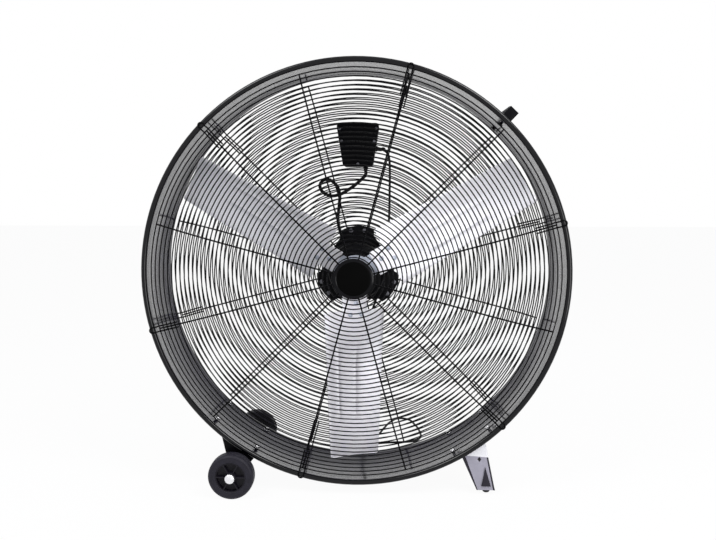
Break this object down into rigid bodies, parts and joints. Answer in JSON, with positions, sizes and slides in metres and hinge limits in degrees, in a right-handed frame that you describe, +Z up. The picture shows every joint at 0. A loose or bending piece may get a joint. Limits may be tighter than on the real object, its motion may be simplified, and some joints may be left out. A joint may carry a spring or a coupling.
{
  "type": "drum fan",
  "caption": "Portable floor drum fan: steel drum, wire guards, three paddle blades on a direct-drive motor, two wheels, two feet, handle and power cord.",
  "frame": {"origin": "on the floor, under the middle of the fan without its power cord", "axes": "+Z up, +Y rearward along the fan axis from the guard that the air leaves by to the motor side, +X to the right as seen from the front, towards the feet; the wheels are at -X"},
  "size_m": [1.15, 0.706, 1.177],
  "materials": {
    "drum_black": "gloss black enamel on rolled steel",
    "wire_black": "black enamelled wire",
    "blade_aluminium": "mill finish sheet aluminium, satin",
    "hub_zinc": "zinc plated pressed steel",
    "motor_black": "semi-gloss black paint",
    "steel": "ground bright steel",
    "zinc": "bright zinc plate",
    "leg_paint": "grey paint on pressed steel",
    "tyre_rubber": "solid rubber tyre",
    "wheel_plastic": "moulded black plastic",
    "grip_plastic": "dark grey moulded grip",
    "box_plastic": "moulded black plastic",
    "knob_plastic": "moulded black plastic",
    "cord_pvc": "black flexible PVC",
    "foot_rubber": "black moulded rubber"
  },
  "bodies": {
    "frame": {"drum_shell": "drum_black", "front_guard": "wire_black", "rear_guard": "wire_black", "front_guard_plate": "wire_black", "motor_front_shield": "motor_black", "motor_body": "motor_black", "motor_rear_shield": "motor_black", "motor_gland": "box_plastic", "motor_cradle": "motor_black", "cradle_clamp_1": "zinc", "cradle_clamp_2": "zinc", "cradle_clamp_3": "zinc", "axle_cap_front": "zinc", "axle_cap_rear": "zinc", "axle": "steel", "axle_bracket": "drum_black", "leg_bracket": "leg_paint", "foot_front": "foot_rubber", "foot_rear": "foot_rubber", "handle_bar": "drum_black", "handle_grip": "grip_plastic", "switch_box": "box_plastic", "box_plate": "box_plastic", "box_lid": "box_plastic", "cord_gland": "box_plastic", "lead_gland": "box_plastic", "motor_lead": "cord_pvc", "power_cord": "cord_pvc", "cord_coil": "cord_pvc", "cord_plug": "cord_pvc", "front_clip_1": "wire_black", "rear_clip_1": "wire_black", "front_clip_2": "wire_black", "rear_clip_2": "wire_black", "front_clip_3": "wire_black", "rear_clip_3": "wire_black", "front_clip_4": "wire_black", "rear_clip_4": "wire_black", "front_clip_5": "wire_black", "rear_clip_5": "wire_black", "front_clip_6": "wire_black", "rear_clip_6": "wire_black"},
    "rotor": {"hub_spider": "hub_zinc", "hub_boss": "hub_zinc", "blade_1": "blade_aluminium", "blade_2": "blade_aluminium", "blade_3": "blade_aluminium", "shaft_nut": "zinc", "motor_shaft": "steel"},
    "wheel_front": {"wheel_hub_front": "wheel_plastic", "tyre_front": "tyre_rubber"},
    "wheel_rear": {"wheel_hub_rear": "wheel_plastic", "tyre_rear": "tyre_rubber"},
    "speed_knob": {"speed_knob": "knob_plastic"}
  },
  "joints": [
    {"name": "rotor_spin", "type": "hinge", "parent": "frame", "child": "rotor", "pos_m": [0, -0.055, 0.602], "axis": [0, 1, 0], "continuous": true},
    {"name": "wheel_front_spin", "type": "hinge", "parent": "frame", "child": "wheel_front", "pos_m": [-0.332, -0.186, 0.0625], "axis": [0, 1, 0], "continuous": true},
    {"name": "wheel_rear_spin", "type": "hinge", "parent": "frame", "child": "wheel_rear", "pos_m": [-0.332, 0.186, 0.0625], "axis": [0, 1, 0], "continuous": true},
    {"name": "speed_knob_turn", "type": "hinge", "parent": "frame", "child": "speed_knob", "pos_m": [0, 0.16, 0.96199], "axis": [0, 1, 0], "range_deg": [0, 90]}
  ]
}
